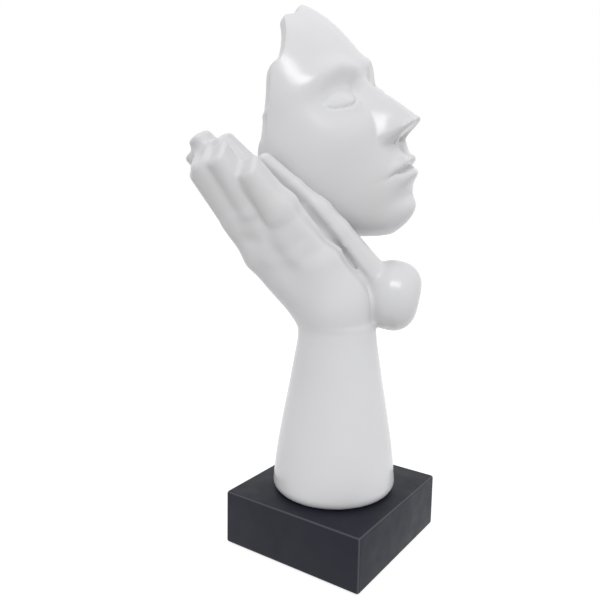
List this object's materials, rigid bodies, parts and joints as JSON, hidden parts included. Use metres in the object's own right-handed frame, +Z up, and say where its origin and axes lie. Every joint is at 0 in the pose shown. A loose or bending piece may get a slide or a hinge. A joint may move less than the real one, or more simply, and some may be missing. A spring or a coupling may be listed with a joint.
{
  "type": "face on hands statue",
  "caption": "Tabletop statue: a hollow mask leans its cheek on two hands laid palm to palm, on a round forearm and a square black plinth.",
  "frame": {"origin": "middle of the face under the base that rests on the table", "axes": "+Z up, +X the way the face looks, -Y out of the back of the near hand"},
  "size_m": [0.1226, 0.1687, 0.3508],
  "materials": {
    "white_lacquer": "cast resin, white satin-gloss lacquer",
    "black_lacquer": "pressed wood block, satin black lacquer",
    "base_felt": "soft black felt sheet",
    "zinc_steel": "zinc plated steel"
  },
  "bodies": {
    "root": {"base_sheet": "base_felt", "plinth": "black_lacquer", "stud": "zinc_steel", "washer": "zinc_steel", "nut": "zinc_steel", "forearm": "white_lacquer", "near_hand": "white_lacquer", "far_hand": "white_lacquer", "face_mask": "white_lacquer"}
  },
  "joints": []
}
